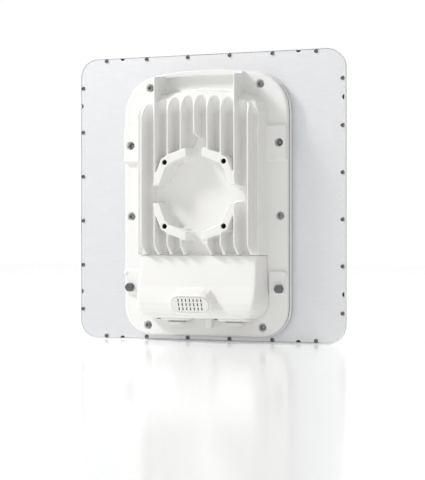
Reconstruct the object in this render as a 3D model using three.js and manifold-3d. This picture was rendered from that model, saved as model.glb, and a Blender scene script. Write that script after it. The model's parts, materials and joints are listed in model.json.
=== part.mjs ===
// Outdoor wireless bridge: a flat-panel antenna with a finned radio housing bolted to its back.
// Everything is modelled in the panel's own frame, in millimetres: X across, Z up from the
// panel's bottom edge, Y = 0 on the antenna plate's rear face, -Y towards the mast.
// The last lines move the whole object so that its origin is the centre of the mounting ring.

import * as THREE from 'three';
import { mergeVertices } from 'three/addons/utils/BufferGeometryUtils.js';
import Module from 'manifold-3d';

const wasm = await Module();
wasm.setup();

// ---------- driving dimensions ----------

const gap = 0.3;                    // clearance between touching pieces

const panelSize = 371;              // radome, square
const panelCorner = 25;
const panelMiddle = panelSize / 2;  // height of the panel's centre
const lipWall = 1.5;                // radome lip around the plate
const sealFront = 2.9;              // flat seal between plate and radome
const radomeFront = 18;
const plateThick = 2;
const screwInset = 4;               // perimeter screws, from the panel's outer edge
const screwPitch = 58.62;
const notchOffset = 123;            // drain notches, from the middle of each edge
const notchRadius = 3.5;
const notchDepth = 2.8;
const patchPitch = 39;              // antenna patches, about 0.7 of a wavelength at 5.5 GHz
const patchHalf = 10.5;

const shellRear = -5.7;             // joint faces between the two housing halves
const flangeFront = -7.5;
const flangeRear = -13;
const flangeHalf = 113.7;
const flangeBottom = 8;
const flangeTop = 343.5;
const flangeCrown = 4.5;            // rise of the top edge at its middle
const crownHalf = 63;
const topCorner = 50;
const bottomCorner = 36;

const ringHeight = 188.4;           // centre of the mounting ring
const ringRear = -47.6;             // pad plane, where the mast bracket seats
const ringHolePitch = 81.3;
const ringHoleRadius = 3.4;
const dishFloor = -25.4;

const finPitch = 18.3;
const finThick = 2;                 // at the tip
const finRoot = 4.4;
const finTip = -47.7;
const valleyFloor = -24;
const ridgeRear = -38;              // shoulders outside the last fins
const blockHalf = 88;
const hoodTop = 111.4;

const portDepth = -27;              // axis of both cable ports
const portBore = 9.6;
const ports = { left: { x: -32, half: 19 }, right: { x: 47, half: 22 } };

const housingScrewPlaces = [
  [103, 253, 'pad'], [103.5, 161, 'flange'], [76.5, 327.5, 'flange'], [79.6, 20, 'flange'],
].flatMap(([x, z, seat]) => [-1, 1].map((side) => ({ x: side * x, z, seat })));
const groundPlace = { x: 103.6, z: 69 };
const portCollar = 12.2;             // half depth of the raised collar round each port
const plateScrewHole = 1.6;
const screwClearance = 1.9;
const boardScrewPlaces = [[-68, 122], [68, 122], [-68, 284], [68, 284]];
const antennaScrewPlaces = [110, 207, 296].flatMap((z) => [[-106.3, z], [106.3, z]]);
const feedPlaces = [[-18, 232], [18, 232]];

// ---------- finishes ----------

const finish = (color, roughness, metalness = 0) =>
  new THREE.MeshStandardMaterial({ color, roughness, metalness });

const paint = finish(0xeeeeea, 0.45);
const radomePlastic = finish(0xf1f2f2, 0.4);
const brushedAluminium = finish(0xd9dbde, 0.35, 0.9);
const steel = finish(0x8d8f91, 0.35, 1);
const darkSteel = finish(0x5c5d5f, 0.4, 1);
const rubber = finish(0x3b3d3f, 0.8);
const blackPlastic = finish(0x1e1f20, 0.5);
const greyPlastic = finish(0xc9cac7, 0.5);
const circuitBoard = finish(0x1f5a3a, 0.5);
const tinned = finish(0xc9cac8, 0.3, 1);
const brass = finish(0xc9a54a, 0.3, 1);
const foam = finish(0xf7f6f0, 0.9);
const whitePlastic = finish(0xe9e9e4, 0.5);

// ---------- solids ----------

// A closed geometry becomes a solid that can be joined and cut.
function solid(geometry) {
  const bare = geometry.index ? geometry.toNonIndexed() : geometry.clone();
  bare.deleteAttribute('normal');
  bare.deleteAttribute('uv');
  const merged = mergeVertices(bare, 1e-4);
  return new wasm.Manifold(new wasm.Mesh({
    numProp: 3,
    vertProperties: new Float32Array(merged.attributes.position.array),
    triVerts: new Uint32Array(merged.index.array),
  }));
}

const joined = (first, ...rest) => rest.reduce((all, one) => all.add(one), first);
const cut = (first, ...rest) => rest.reduce((all, one) => all.subtract(one), first);

const panel = new THREE.Group();

function addPiece(name, body, material) {
  const { vertProperties, triVerts } = body.getMesh();
  const geometry = new THREE.BufferGeometry();
  geometry.setAttribute('position', new THREE.BufferAttribute(new Float32Array(vertProperties), 3));
  geometry.setIndex(new THREE.BufferAttribute(new Uint32Array(triVerts), 1));
  const mesh = new THREE.Mesh(geometry, material);
  mesh.name = name;
  panel.add(mesh);
}

// Closed skin through matching loops of points; flatten gives the 2-D view that fills its ends.
function skin(loops, flatten) {
  const count = loops[0].length;
  const positions = loops.flat(2);
  const index = [];
  for (let row = 0; row + 1 < loops.length; row += 1) {
    for (let i = 0; i < count; i += 1) {
      const a = row * count + i;
      const b = row * count + (i + 1) % count;
      index.push(a, b, a + count, b, b + count, a + count);
    }
  }
  const last = (loops.length - 1) * count;
  index.push(...endFace(loops[0].map(flatten), 0).reverse());
  index.push(...endFace(loops.at(-1).map(flatten), last));
  if (signedVolume(positions, index) < 0) index.reverse();
  const geometry = new THREE.BufferGeometry();
  geometry.setAttribute('position', new THREE.Float32BufferAttribute(positions, 3));
  geometry.setIndex(index);
  return solid(geometry);
}

// Triangles that fill a loop, running the same way round as the loop does.
function endFace(loop, first) {
  const points = loop.map((p) => new THREE.Vector2(...p));
  const faces = THREE.ShapeUtils.triangulateShape(points, []);
  const sameWay = THREE.ShapeUtils.area(points)
    * THREE.ShapeUtils.area(faces[0].map((i) => points[i])) > 0;
  return faces.flatMap((face) => (sameWay ? face : face.reverse()).map((i) => i + first));
}

function signedVolume(positions, index) {
  const at = (n) => new THREE.Vector3(...positions.slice(3 * n, 3 * n + 3));
  let volume = 0;
  for (let i = 0; i < index.length; i += 3) {
    volume += at(index[i]).dot(at(index[i + 1]).cross(at(index[i + 2])));
  }
  return volume;
}

// Outlines in the panel's plane, one per depth, joined into one drafted body.
const loftDepth = (...steps) =>
  skin(steps.map(([y, outline]) => outline.map(([x, z]) => [x, y, z])), ([x, , z]) => [x, z]);

// Outlines in a level plane, one per height.
const loftHeight = (...steps) =>
  skin(steps.map(([z, outline]) => outline.map(([x, y]) => [x, y, z])), ([x, y]) => [x, y]);

const slab = (outline, yFront, yRear) => loftDepth([yFront, outline], [yRear, outline]);

function block(x0, x1, y0, y1, z0, z1) {
  const box = new THREE.BoxGeometry(x1 - x0, y1 - y0, z1 - z0);
  box.translate((x0 + x1) / 2, (y0 + y1) / 2, (z0 + z1) / 2);
  return solid(box);
}

// A profile of [radius, along] points turned about an axis through (x, y, z).
// direction '-y' points along out of the back, '-z' points it down, '+y' forwards.
function turned(profile, sides, direction, x, y, z) {
  const lathe = new THREE.LatheGeometry(profile.map(([r, h]) => new THREE.Vector2(r, h)), sides);
  if (direction === '-y') lathe.rotateZ(Math.PI);
  if (direction === '-z') lathe.rotateX(-Math.PI / 2);
  lathe.translate(x, y, z);
  return solid(lathe);
}

const rod = (radius, length, sides, direction, x, y, z) =>
  turned([[0, 0], [radius, 0], [radius, length], [0, length]], sides, direction, x, y, z);

const washer = (inner, outer, length, sides, direction, x, y, z) => turned(
  [[inner, 0], [outer, 0], [outer, length], [inner, length], [inner, 0]],
  sides, direction, x, y, z);

// ---------- outlines ----------

function arc(cx, cy, radius, from, to, steps) {
  return Array.from({ length: steps + 1 }, (_, i) => {
    const angle = THREE.MathUtils.degToRad(from + (to - from) * i / steps);
    return [cx + radius * Math.cos(angle), cy + radius * Math.sin(angle)];
  });
}

function roundedRect(halfX, low, high, radius, steps = 5) {
  return [
    ...arc(halfX - radius, low + radius, radius, -90, 0, steps),
    ...arc(halfX - radius, high - radius, radius, 0, 90, steps),
    ...arc(radius - halfX, high - radius, radius, 90, 180, steps),
    ...arc(radius - halfX, low + radius, radius, 180, 270, steps),
  ];
}

const panelOutline = (inset) =>
  roundedRect(panelMiddle - inset, inset, panelSize - inset, Math.max(panelCorner - inset, 4), 6);

// The radio housing's outline, with its gently crowned top edge.
function housingOutline(inset) {
  const half = flangeHalf - inset;
  const low = flangeBottom + inset;
  const high = flangeTop - inset;
  const top = Math.max(topCorner - inset, 6);
  const bottom = Math.max(bottomCorner - inset, 5);
  const crown = [-0.6, -0.2, 0.2, 0.6].map((t) => [-t * crownHalf, high + flangeCrown * (1 - t * t)]);
  return [
    ...arc(half - bottom, low + bottom, bottom, -90, 0, 6),
    ...arc(half - top, high - top, top, 0, 84, 6),
    ...crown,
    ...arc(top - half, high - top, top, 96, 180, 6),
    ...arc(bottom - half, low + bottom, bottom, 180, 270, 6),
  ];
}

const slot = (x, z, halfLength, radius, steps = 5) => [
  ...arc(x + halfLength - radius, z, radius, -90, 90, steps),
  ...arc(x - halfLength + radius, z, radius, 90, 270, steps),
];

// ---------- flat-panel antenna ----------

// Six screws along each edge of the panel.
const perimeter = [-2.5, -1.5, -0.5, 0.5, 1.5, 2.5].flatMap((n) => {
  const along = n * screwPitch;
  const edge = panelMiddle - screwInset;
  return [[along, -edge], [along, edge], [-edge, along], [edge, along]];
}).map(([x, z]) => [x, z + panelMiddle]);

function antennaPlate() {
  const half = panelMiddle - lipWall - gap;
  const plate = slab(panelOutline(lipWall + gap), 0, plateThick);
  const notches = [-notchOffset, notchOffset].flatMap((along) => {
    const reach = half - notchDepth + notchRadius;
    return [[along, -reach], [along, reach], [-reach, along], [reach, along]];
  }).map(([x, z]) => rod(notchRadius, plateThick + 2, 10, '+y', x, -1, z + panelMiddle));
  const holes = perimeter.map(([x, z]) => rod(plateScrewHole, plateThick + 2, 6, '+y', x, -1, z));
  const fixings = antennaScrewPlaces.map(([x, z]) => turned(
    [[0, -1], [2.4, -1], [2.4, 0.2], [4.4, 1.6], [4.4, 4], [0, 4]], 10, '+y', x, 0, z));
  const feeds = feedPlaces.map(([x, z]) => rod(5, plateThick + 2, 10, '+y', x, -1, z));
  addPiece('antenna_plate', cut(plate, ...notches, ...holes, ...fixings, ...feeds), brushedAluminium);
}

function radome() {
  const outer = loftDepth(
    [-0.6, panelOutline(0.5)], [0.4, panelOutline(0)], [4.6, panelOutline(0)],
    [6, panelOutline(0.9)], [15, panelOutline(7)], [17.3, panelOutline(9)],
    [radomeFront, panelOutline(11.5)]);
  const platePocket = slab(panelOutline(lipWall), -2, sealFront + gap);
  const hollow = loftDepth([plateThick, panelOutline(8.5)], [radomeFront - 2.4, panelOutline(12)]);
  const pilots = perimeter.map(([x, z]) => rod(1.5, 9, 6, '+y', x, 1, z));
  addPiece('radome', cut(outer, platePocket, hollow, ...pilots), radomePlastic);
}

function radomeSeal() {
  const ring = slab(panelOutline(lipWall + gap), plateThick + gap, sealFront);
  const opening = slab(panelOutline(8.2), plateThick, sealFront + 1);
  const holes = perimeter.map(([x, z]) => rod(plateScrewHole, 3, 6, '+y', x, plateThick - 1, z));
  addPiece('radome_seal', cut(ring, opening, ...holes), rubber);
}

function antennaStack() {
  const board = roundedRect(160, 25.5, 345.5, 6, 2);
  const layer = (name, y0, y1, material) => addPiece(name, slab(board, y0, y1), material);
  layer('feed_spacer', 5.2, 6.4, foam);
  layer('feed_board', 6.7, 7.7, circuitBoard);
  layer('patch_spacer', 8, 12, foam);
  const sheetFront = 12.9;
  const patches = [];
  for (let row = -3.5; row <= 3.5; row += 1) {
    for (let column = -3.5; column <= 3.5; column += 1) {
      const x = column * patchPitch;
      const z = panelMiddle + row * patchPitch;
      patches.push(block(
        x - patchHalf, x + patchHalf, sheetFront - 0.2, sheetFront + 0.4, z - patchHalf, z + patchHalf));
    }
  }
  addPiece('patch_sheet', joined(slab(board, 12.3, sheetFront), ...patches), tinned);
}

function antennaScrews() {
  const profile = [[0, -5.2], [1.6, -5.2], [1.6, 0.4], [3.8, 1.7], [0, 1.7]];
  antennaScrewPlaces.forEach(([x, z], i) =>
    addPiece(`antenna_screw_${i + 1}`, turned(profile, 10, '+y', x, 0, z), steel));
}

function feedBullets() {
  const profile = [[0, 0], [1.8, 0], [1.8, 3], [3, 3], [3, 12], [1.8, 12], [1.8, 15], [0, 15]];
  feedPlaces.forEach(([x, z], i) => addPiece(
    ['feed_bullet_horizontal', 'feed_bullet_vertical'][i],
    turned(profile, 10, '+y', x, -10.2, z), brass));
}

// ---------- housing halves ----------

function frontShell() {
  const body = loftDepth(
    [-0.3, housingOutline(0.2)], [-1.3, housingOutline(-1.3)],
    [-4.9, housingOutline(-1.3)], [shellRear, housingOutline(-0.6)]);
  const pocket = slab(roundedRect(97, 27, 324, 12, 3), shellRear - 1, -2.6);
  const holes = housingScrewPlaces.map(({ x, z }) => rod(screwClearance, 5, 8, '-y', x, -1.9, z));
  const fixings = antennaScrewPlaces.map(([x, z]) => rod(screwClearance, 9, 8, '-y', x, 2, z));
  const trimmed = fixings.map((hole) => hole.trimByPlane([0, 1, 0], -5.2));
  const feeds = feedPlaces.map(([x, z]) => rod(4, 8, 10, '-y', x, 1, z));
  addPiece('front_shell', cut(body, pocket, ...holes, ...trimmed, ...feeds), paint);
}

function housingGasket() {
  const ring = slab(housingOutline(0.45), shellRear - gap, flangeFront + gap);
  const opening = slab(roundedRect(96.5, 26.5, 322, 12, 3), shellRear + 1, flangeFront - 1);
  const holes = housingScrewPlaces.map(({ x, z }) => rod(2.6, 4, 8, '-y', x, -5, z));
  addPiece('housing_gasket', cut(ring, opening, ...holes), rubber);
}

// One valley between two fins: a round-bottomed trough that ramps out to a pointed arch.
function valley(x, halfWidth, floor, low, high, runOut) {
  const radius = halfWidth * 0.82;
  const centre = floor - radius;
  const mouth = finTip - 14;
  const draft = (halfWidth - radius) / (centre - finTip);
  const mouthHalf = halfWidth + draft * (finTip - mouth);
  const section = (shift) => [
    [x - mouthHalf, mouth],
    ...arc(x, centre - shift, radius, 180, 0, 6),
    [x + mouthHalf, mouth],
  ];
  const travel = floor - ridgeRear + 1.5;
  const ramp = [0, 0.2, 0.4, 0.6, 0.8, 1].map((t) => [
    high - runOut * (1 - t), section(travel * (1 - (1 - t) ** 1.6))]);
  return loftHeight([low, section(0)], ...ramp);
}

function finBlock() {
  const outline = (inset, low) => [
    [-blockHalf + inset, low], [blockHalf - inset, low],
    [blockHalf - inset, 292], [blockHalf - inset - 3, 303], [blockHalf - inset - 11, 312 - inset / 2],
    [55, 318 - inset], [28, 322 - inset], [0, 323.5 - inset], [-28, 322 - inset],
    [-55, 318 - inset], [-blockHalf + inset + 11, 312 - inset / 2],
    [-blockHalf + inset + 3, 303], [-blockHalf + inset, 292],
  ];
  const shoulders = loftDepth(
    [flangeRear + 1, outline(-0.2, hoodTop)], [ridgeRear + 2, outline(4.2, hoodTop)],
    [ridgeRear, outline(5.6, hoodTop)]);
  const finHalf = 4 * finPitch;
  const crest = (inset) => [
    [-finHalf - finThick / 2 - 0.8 + inset, hoodTop], [finHalf + finThick / 2 + 0.8 - inset, hoodTop],
    [finHalf + finThick / 2 + 0.8 - inset, 300], [64, 311 - inset], [32, 318 - inset],
    [0, 320 - inset], [-32, 318 - inset], [-64, 311 - inset],
    [-finHalf - finThick / 2 - 0.8 + inset, 300],
  ];
  const fins = loftDepth([-30, crest(0)], [finTip, crest(0.8)]);
  return joined(shoulders, fins);
}

function valleys() {
  const halfWidth = (finPitch - finThick) / 2;
  const tops = [318, 316.7, 314.2, 309.2];
  const wide = tops.flatMap((top, n) => [-1, 1].map((side) => valley(
    side * (n + 0.5) * finPitch, halfWidth, valleyFloor, hoodTop - 1, top, 26)));
  const narrow = [-1, 1].map((side) => valley(
    side * 79, 3.4, -33.5, hoodTop - 1, 304, 16));
  return [...wide, ...narrow];
}

// Fin ends slope down to the connector hood.
function finEndSlope() {
  return skin([-95, 95].map((x) => [
    [x, -33.6, hoodTop - 2], [x, -34.6, hoodTop], [x, finTip - 1, hoodTop + 13],
    [x, finTip - 6, hoodTop + 13], [x, finTip - 6, hoodTop - 2],
  ]), ([, y, z]) => [y, z]);
}

// Fin tips round over towards the plate at the top, lower at the sides than in the middle.
function finTopRound() {
  const round = [[-48.7, 296], [-47.2, 301], [-44.5, 307], [-40.5, 313], [-36, 318], [-31, 322], [-26, 325]];
  const drop = (x) => 9 * (x / 64) ** 2;
  return skin([-95, -80, -64, -46, -27, 0, 27, 46, 64, 80, 95].map((x) => [
    ...round.map(([y, z]) => [x, y, z - drop(x)]),
    [x, -26, 345 - drop(x)], [x, finTip - 6, 345 - drop(x)], [x, finTip - 6, 296 - drop(x)],
  ]), ([, y, z]) => [y, z]);
}

// The two fins that carry on to the top edge.
function tallRibs() {
  return [-1, 1].map((side) => {
    const x = side * 3 * finPitch;
    const low = hoodTop + 2;
    const rib = (half, top) => [[x - half, low], [x + half, low], [x + half, top], [x - half, top]];
    return loftDepth([flangeRear + 1, rib(finRoot / 2 + 0.2, flangeTop - 1)],
      [finTip, rib(finThick / 2, flangeTop - 5.5)]);
  });
}

// A low wall along the crowned top edge, between the tall ribs.
function topLip() {
  const half = 3 * finPitch + 1;
  const crown = [1, 0.5, 0, -0.5, -1].map((t) => {
    const x = t * half;
    return [x, flangeTop - 0.6 + flangeCrown * (1 - (x / crownHalf) ** 2)];
  });
  const outline = [[-half, 338.6], [0, 340], [half, 338.6], ...crown];
  return slab(outline, flangeRear + 1, -21);
}

// Four bent bars make an open octagon that the mast bracket bolts to.
const ringBar = [
  [48.1, 12], [57.6, 11.2], [51, 31.6], [45.6, 43.8], [36, 50.6], [11.3, 58.8],
  [10.3, 47.7], [34.6, 38.6], [39.1, 34],
];

function grown(outline, centre, amount) {
  return outline.map(([x, z]) => {
    const away = Math.hypot(x - centre[0], z - centre[1]);
    const scale = (away + amount) / away;
    return [centre[0] + (x - centre[0]) * scale, centre[1] + (z - centre[1]) * scale];
  });
}

function ringBars() {
  const middle = [41, 36];
  return [[1, 1], [-1, 1], [-1, -1], [1, -1]].map(([sx, sz]) => {
    const place = ([x, z]) => [sx * x, ringHeight + sz * z];
    const face = ringBar.map(place);
    const foot = grown(ringBar, middle, 2.2).map(place);
    const bar = loftDepth([valleyFloor + 1, foot], [ringRear, face]);
    const boss = turned([[0, 0], [7.6, 0], [6.4, 24.6], [0, 24.6]], 14, '-y',
      sx * ringHolePitch / 2, valleyFloor + 1, ringHeight + sz * ringHolePitch / 2);
    return bar.add(boss);
  });
}

// Plan of the recess inside the ring, with a ray out through each gap between the bars.
function recessPlan(scale) {
  return [
    [[13, 58], [13, 47], [35, 38.5], [39, 34.5], [48.5, 14], [66, 14]],
    [[66, -14], [48.5, -14], [39, -34.5], [35, -38.5], [13, -47], [13, -58], [17, -80]],
    [[-17, -80], [-13, -58], [-13, -47], [-35, -38.5], [-39, -34.5], [-48.5, -14], [-66, -14]],
    [[-66, 14], [-48.5, 14], [-39, 34.5], [-35, 38.5], [-13, 47], [-13, 58], [-5, 75], [5, 75]],
  ].flat().map(([x, z]) => [x * scale, ringHeight + z * scale]);
}

const recess = () => loftDepth([dishFloor, recessPlan(0.94)], [finTip - 2, recessPlan(1.03)]);
const recessPan = () => loftDepth([flangeRear, recessPlan(1)], [dishFloor, recessPlan(0.95)]);

function ringHoles() {
  return [[1, 1], [-1, 1], [-1, -1], [1, -1]].map(([sx, sz]) => rod(
    ringHoleRadius, 18, 12, '-y', sx * ringHolePitch / 2, ringRear + 17,
    ringHeight + sz * ringHolePitch / 2));
}

// Raised seats along the sides: upper housing screws and ground screws.
function sidePads() {
  const pad = (side, x0, x1, z0, z1, rear) => {
    const outline = (inset) => [
      [side * x0, z0 + inset], [side * (x1 - inset), z0 + inset],
      [side * (x1 - inset), z1 - inset], [side * x0, z1 - inset]];
    return loftDepth([flangeRear + 1.5, outline(0)], [rear, outline(0.8)]);
  };
  return [-1, 1].flatMap((side) => [
    pad(side, 86, flangeHalf - 0.4, 231, 275.5, -17.4),
    pad(side, 89.4, 111, 61.5, 92, -16.6),
    turned([[0, 0], [3, 0], [2.6, 6.2], [0, 6.2]], 10, '-y', side * 110.4, flangeRear + 1.5, 88),
  ]);
}

const seatDepth = { flange: -10.6, pad: -11.6 };

function housingScrewSeats() {
  return housingScrewPlaces.flatMap(({ x, z, seat }) => [
    rod(5.5, 12, 14, '-y', x, seatDepth[seat], z),
    rod(2.3, 8, 8, '-y', x, flangeFront + 1, z),
  ]);
}

// Drip rib between the two ports, just under the hood.
const dripRib = (inset) => [
  [3.4 + inset, 17.5 + inset], [13.8 - inset, 17.5 + inset], [13.8 - inset, 30.7], [3.4 + inset, 30.7]];

// Closed back wall of the cable compartment, with the two port collars and the drip rib.
function connectorBody() {
  const level = (half, rear) => [
    [-half, flangeRear + 1], [-half, rear + 3], [-half + 3, rear],
    [half - 3, rear], [half, rear + 3], [half, flangeRear + 1]];
  const body = loftHeight(
    [34, level(67, -35.4)], [36, level(70, -37.4)], [44, level(76, -37.4)], [60, level(76, -37.4)],
    [72, level(76, -35.4)], [96, level(76, -30.6)], [hoodTop + 2, level(76, -30.6)]);
  const collars = Object.values(ports).map(({ x, half }) =>
    loftHeight(
      [28, slot(x, portDepth, half, portCollar, 6)], [36, slot(x, portDepth, half, portCollar, 6)]));
  const drip = loftDepth([flangeRear + 1, dripRib(0)], [-20, dripRib(1.2)]);
  return joined(body, ...collars, drip);
}

function housingCavities() {
  return [
    block(-80, 80, -20, flangeFront + 1, 106, 298),
    block(-68, 68, -27.6, flangeFront + 1, 40, 107),
    block(-68, 68, -30.8, flangeFront + 1, 40, 86),
    block(-68, 68, -35, flangeFront + 1, 40, 61),
    ...Object.values(ports).map(({ x }) => rod(portBore, 15, 16, '-z', x, portDepth, 41)),
    rod(5, 4, 10, '-y', 0, -34.6, 49.5),
  ];
}

const hoodScrewPlaces = [[-60, -22], [19.6, -22]];
const groundHole = (side) => rod(3.3, 11, 10, '-y', side * groundPlace.x, -8.4, groundPlace.z);

function rearHousing() {
  const flange = loftDepth(
    [flangeFront, housingOutline(0)], [-10.6, housingOutline(0)],
    [-12.2, housingOutline(0.9)], [flangeRear, housingOutline(3)]);
  const finned = cut(finBlock(), ...valleys(), finEndSlope(), finTopRound());
  const ribs = tallRibs().map((rib) => rib.subtract(finEndSlope()));
  const centre = joined(cut(joined(finned, ...ribs), recess()), recessPan());
  const body = joined(flange, centre, ...ringBars(), topLip(), ...sidePads(), connectorBody());
  const boardBosses = boardScrewPlaces.map(([x, z]) => cut(
    rod(3, 8.5, 8, '-y', x, -12.5, z), rod(1.5, 5.5, 6, '-y', x, -12, z)));
  const hoodHoles = hoodScrewPlaces.map(([x, y]) => rod(1.7, 6, 8, '-z', x, y, 38.6));
  const hollowed = cut(
    body, ...housingCavities(), ...ringHoles(), ...housingScrewSeats(),
    groundHole(-1), groundHole(1), ...hoodHoles);
  addPiece('rear_housing', joined(hollowed, ...boardBosses), paint);
}

function housingScrews() {
  housingScrewPlaces.forEach(({ x, z, seat }, i) => {
    const floor = seatDepth[seat];
    const shank = -floor - 2.4;
    const body = turned([
      [0, -shank], [1.6, -shank], [1.6, gap], [3.7, gap], [3.9, 0.9], [3.9, 2.8], [3.1, 3.5], [0, 3.5],
    ], 10, '-y', x, floor, z);
    const socket = rod(1.6, 3, 6, '-y', x, floor - 1.9, z);
    addPiece(`housing_screw_${i + 1}`, body.subtract(socket), steel);
  });
}

// ---------- hood over the cable ports ----------

// Height, half-width at the flange, half-width at the front, and front face.
const hoodProfile = [
  [31.2, 72, 66, -40.4], [33, 77, 70.6, -43], [37, 82.4, 75.4, -45.2], [43, 86.6, 79.4, -46.4],
  [51, 88.2, 81.6, -46.4], [58, 88.4, 82.2, -44.8], [72, 88, 82.4, -40.8],
  [hoodTop - 1.4, 86.4, 81.4, -34.2], [hoodTop - gap, 85.8, 80.8, -33.4],
];

// Level section of the hood: wide against the flange, narrower and rounded at the front.
function hoodSection(base, front, rear, inset, back) {
  const r = 5;
  const half = front - inset;
  const face = rear + inset;
  return [
    [-(base - inset), back], [-(half + 0.9), face + r * 1.3], [-(half - 0.4), face + r * 0.5],
    [-(half - r * 0.5), face + 0.3], [-(half - r * 1.3), face],
    [half - r * 1.3, face], [half - r * 0.5, face + 0.3], [half - 0.4, face + r * 0.5],
    [half + 0.9, face + r * 1.3], [base - inset, back],
  ];
}

const snoutFace = { top: [61.6, -63.6], bottom: [37, -55], half: 28.5 };

// Stadium-shaped loop on the snout's slanted face, or on any level between it and the hood.
function snoutLoop(half, top, bottom, steps = 6) {
  const mid = (top[0] + bottom[0]) / 2;
  const radius = (top[0] - bottom[0]) / 2;
  const slope = (top[1] - bottom[1]) / (top[0] - bottom[0]);
  return slot(0, mid, half, radius, steps).map(([x, z]) => [x, bottom[1] + slope * (z - bottom[0]), z]);
}

const onFace = (inward, sink, half = 0) => {
  const { top, bottom } = snoutFace;
  const slope = (top[1] - bottom[1]) / (top[0] - bottom[0]);
  const nudge = slope * inward;
  return snoutLoop(snoutFace.half - inward - half,
    [top[0] - inward, top[1] - nudge + sink], [bottom[0] + inward, bottom[1] + nudge + sink]);
};

const levelView = ([x, , z]) => [x, z];

function connectorHood() {
  const outer = loftHeight(...hoodProfile.map(([z, base, front, rear]) => [
    z, hoodSection(base, front, rear, 0, flangeRear - gap)]));
  const aboveFloor = [[33.6, 78, 71.6, -43.2], ...hoodProfile.slice(2, -1), [hoodTop + 1, 86, 81, -33.6]];
  const hollow = loftHeight(...aboveFloor.map(([z, base, front, rear]) => [
    z, hoodSection(base, front, rear, 2.3, flangeRear + 3)]));
  const snout = skin([
    snoutLoop(30.6, [72.6, -34], [34, -34]), snoutLoop(29, [63.4, -60.4], [36.2, -52.4]),
    onFace(0.9, 0.5), onFace(1.8, 0)], levelView);
  const throat = skin([
    snoutLoop(26, [66, -30], [38, -30]), onFace(4.4, 1.2), onFace(4.4, -3)], levelView);
  const seat = skin([onFace(2.6, 2), onFace(2.6, -4)], levelView);
  const collarHoles = Object.values(ports).map(({ x, half }) => {
    const outline = slot(x, portDepth, half + 0.5, portCollar + 0.5, 6);
    return loftHeight([29, outline], [40, outline]);
  });
  const screwHoles = hoodScrewPlaces.map(([x, y]) => rod(1.7, 8, 8, '-z', x, y, 36));
  addPiece('connector_hood', cut(
    joined(outer, snout), hollow, throat, seat, ...collarHoles, ...screwHoles), paint);
}

function hoodScrews() {
  const profile = [[0, -7], [1.35, -7], [1.35, 0.3], [2.8, 0.3], [2.8, 1.5], [2, 2.2], [0, 2.2]];
  hoodScrewPlaces.forEach(([x, y], i) =>
    addPiece(`hood_screw_${i + 1}`, turned(profile, 10, '-z', x, y, 31.2), steel));
}

const slantedBox = (x0, x1, z0, z1) => {
  const { top, bottom } = snoutFace;
  const slope = (top[1] - bottom[1]) / (top[0] - bottom[0]);
  const ring = (sink) => [[x0, z0], [x1, z0], [x1, z1], [x0, z1]].map(([x, z]) => [
    x, bottom[1] + slope * (z - bottom[0]) + sink, z]);
  return skin([ring(4), ring(-4)], levelView);
};

function soundGrille() {
  const plate = skin([onFace(2.95, 1.6), onFace(2.95, 0.1)], levelView);
  const slots = [];
  for (let row = -1; row <= 1; row += 1) {
    for (let column = -3; column <= 3; column += 1) {
      const x = column * 5.2;
      const z = 49.3 + row * 5.4;
      slots.push(slantedBox(x - 0.85, x + 0.85, z - 1.9, z + 1.9));
    }
  }
  addPiece('sound_grille', cut(plate, ...slots), whitePlastic);
  addPiece('sound_membrane', skin([onFace(5, 3.2), onFace(5, 2.1)], levelView), blackPlastic);
  addPiece('alignment_sounder', turned(
    [[0, 0], [7.6, 0], [7.6, 6.4], [2, 6.4], [2, 5.6], [0, 5.6]], 16, '-y', 0, -37.8, 49.5), blackPlastic);
}

// ---------- moving closures ----------

function portPlugs() {
  for (const [side, { x }] of Object.entries(ports)) {
    addPiece(`${side}_plug_seal`, washer(9.35, 11.6, 1, 16, '-z', x, portDepth, 27.7), rubber);
    addPiece(`${side}_port_plug`, turned(
      [[0, -6.4], [7.2, -6.4], [7.2, -5.4], [9.05, -4.8], [9.05, 0], [12, 0], [12, 2.6], [10.8, 3.6],
        [0, 3.6]], 16, '-z', x, portDepth, 26.4), greyPlastic);
  }
}

function groundScrews() {
  for (const [side, sign] of [['left', -1], ['right', 1]]) {
    const x = sign * groundPlace.x;
    const { z } = groundPlace;
    addPiece(`${side}_ground_washer`, washer(3.3, 6.2, 1.2, 14, '-y', x, -16.9, z), tinned);
    const shank = turned([[0, -9], [2.9, -9], [2.9, 0.2], [0, 0.2]], 10, '-y', x, -18.4, z);
    const head = rod(5.7, 4, 6, '-y', x, -18.4, z);
    addPiece(`${side}_ground_screw`, shank.add(head), darkSteel);
  }
}

// ---------- electronics ----------

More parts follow.
